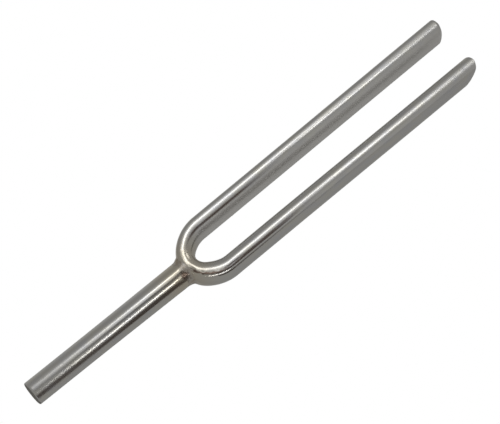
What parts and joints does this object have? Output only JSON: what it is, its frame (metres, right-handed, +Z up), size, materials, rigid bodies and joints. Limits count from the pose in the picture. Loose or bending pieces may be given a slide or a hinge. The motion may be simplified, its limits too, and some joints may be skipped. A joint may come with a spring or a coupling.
{
  "type": "tuning fork",
  "caption": "Pocket-size steel tuning fork: a bar bent into a U with slanted tips, and a plain round stem brazed to the outside of the bend.",
  "frame": {"origin": "on the surface that the fork lies on, under the middle of its bounding box", "axes": "+X along the fork from the stem to the tine tips, Y across the two tines, +Z up, square to the plane that the tines move in"},
  "size_m": [0.13, 0.0172, 0.0068],
  "materials": {
    "tine_steel": "nickel plated, satin, polished along the length",
    "stem_steel": "nickel plated, turned and polished",
    "braze": "filed by hand, pitted, plated over with slight yellow staining"
  },
  "bodies": {
    "root": {"tine_rod": "tine_steel", "stem": "stem_steel", "braze_collar": "braze"}
  },
  "joints": []
}
